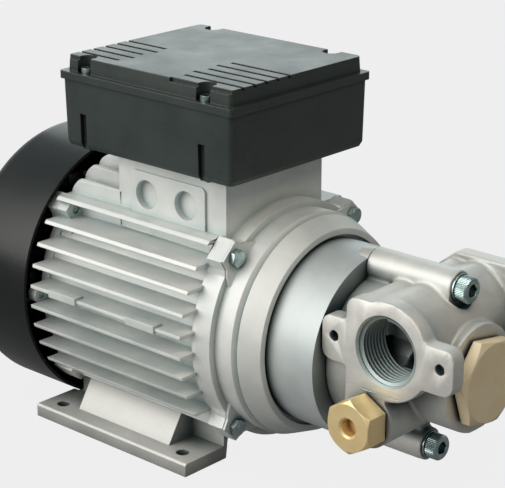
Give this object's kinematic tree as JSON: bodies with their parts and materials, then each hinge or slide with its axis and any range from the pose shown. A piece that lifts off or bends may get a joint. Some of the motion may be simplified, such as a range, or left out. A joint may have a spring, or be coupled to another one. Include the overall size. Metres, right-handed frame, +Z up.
{
  "type": "gear pump",
  "caption": "Motor-driven internal-gear pump: finned foot-mounted motor with a terminal box on top and a two-port pump head on its face flange, closed by brass plugs.",
  "frame": {"origin": "centre of the four foot bolts, on the plane that the feet stand on", "axes": "+X along the shaft from the fan towards the pump head, +Z up, -Y the side with the small brass plug and the cable entries"},
  "size_m": [0.3085, 0.148, 0.2],
  "materials": {
    "cast_aluminium": "as die-cast, bare",
    "foot_aluminium": "as die-cast, bare",
    "pump_aluminium": "as die-cast, bare, machined faces",
    "turned_aluminium": "turned",
    "black_plastic": "glossy moulded",
    "charcoal_plastic": "satin moulded",
    "zinc_steel": "zinc plated",
    "lamination_steel": "stamped",
    "shaft_steel": "ground",
    "spring_steel": "drawn wire",
    "hardened_steel": "ground",
    "enamelled_copper": "enamelled wire, varnished",
    "plug_brass": "turned",
    "washer_copper": "annealed",
    "seal_rubber": "moulded",
    "brown_bakelite": "moulded",
    "capacitor_white": "moulded",
    "bush_bronze": "sintered"
  },
  "bodies": {
    "pump_unit": {"motor_housing": "cast_aluminium", "foot_left": "foot_aluminium", "foot_right": "foot_aluminium", "foot_screws": "zinc_steel", "front_shield": "cast_aluminium", "front_shield_bolts": "zinc_steel", "rear_shield": "cast_aluminium", "rear_shield_bolts": "zinc_steel", "stator_core": "lamination_steel", "stator_windings": "enamelled_copper", "front_bearing_outer": "hardened_steel", "rear_bearing_outer": "hardened_steel", "preload_washer": "spring_steel", "fan_cover": "black_plastic", "fan_cover_screws": "zinc_steel", "terminal_box": "charcoal_plastic", "box_gasket": "seal_rubber", "box_screws": "zinc_steel", "terminal_box_lid": "charcoal_plastic", "lid_screws": "zinc_steel", "terminal_block": "brown_bakelite", "terminal_studs": "plug_brass", "run_capacitor": "capacitor_white", "capacitor_clamp": "zinc_steel", "gear_housing": "turned_aluminium", "shaft_seal": "seal_rubber", "pump_bush": "bush_bronze", "housing_ring": "seal_rubber", "pump_body": "pump_aluminium", "clamp_screws": "zinc_steel", "clamp_washers": "spring_steel", "relief_spring": "spring_steel", "relief_plug": "plug_brass", "relief_plug_washer": "washer_copper", "small_plug": "plug_brass", "small_plug_washer": "washer_copper"},
    "rotor": {"motor_shaft": "shaft_steel", "rotor_core": "lamination_steel", "rotor_cage": "cast_aluminium", "cooling_fan": "black_plastic", "fan_clip": "spring_steel", "gear_key": "hardened_steel", "front_bearing_inner": "hardened_steel", "rear_bearing_inner": "hardened_steel", "inner_gear": "hardened_steel"},
    "ring_gear": {"outer_gear": "hardened_steel"},
    "front_balls": {"front_bearing_balls": "hardened_steel"},
    "rear_balls": {"rear_bearing_balls": "hardened_steel"},
    "poppet": {"relief_poppet": "hardened_steel"}
  },
  "joints": [
    {"name": "rotor_spin", "type": "hinge", "parent": "pump_unit", "child": "rotor", "pos_m": [0, 0, 0.071], "axis": [1, 0, 0], "continuous": true},
    {"name": "ring_gear_spin", "type": "hinge", "parent": "pump_unit", "child": "ring_gear", "pos_m": [0.116, 0, 0.0738], "axis": [1, 0, 0], "continuous": true},
    {"name": "front_balls_spin", "type": "hinge", "parent": "pump_unit", "child": "front_balls", "pos_m": [0.0795, 0, 0.071], "axis": [1, 0, 0], "continuous": true},
    {"name": "rear_balls_spin", "type": "hinge", "parent": "pump_unit", "child": "rear_balls", "pos_m": [-0.0415, 0, 0.071], "axis": [1, 0, 0], "continuous": true},
    {"name": "poppet_slide", "type": "slide", "parent": "pump_unit", "child": "poppet", "axis": [1, 0, 0], "range_m": [0, 0.004], "stiffness_N_per_m": 400, "springref_m": -0.008, "deforming": ["relief_spring"]}
  ],
  "couplings": [
    {"joint": "ring_gear_spin", "follows": "rotor_spin", "ratio": 0.85714},
    {"joint": "front_balls_spin", "follows": "rotor_spin", "ratio": 0.38},
    {"joint": "rear_balls_spin", "follows": "rotor_spin", "ratio": 0.38}
  ]
}
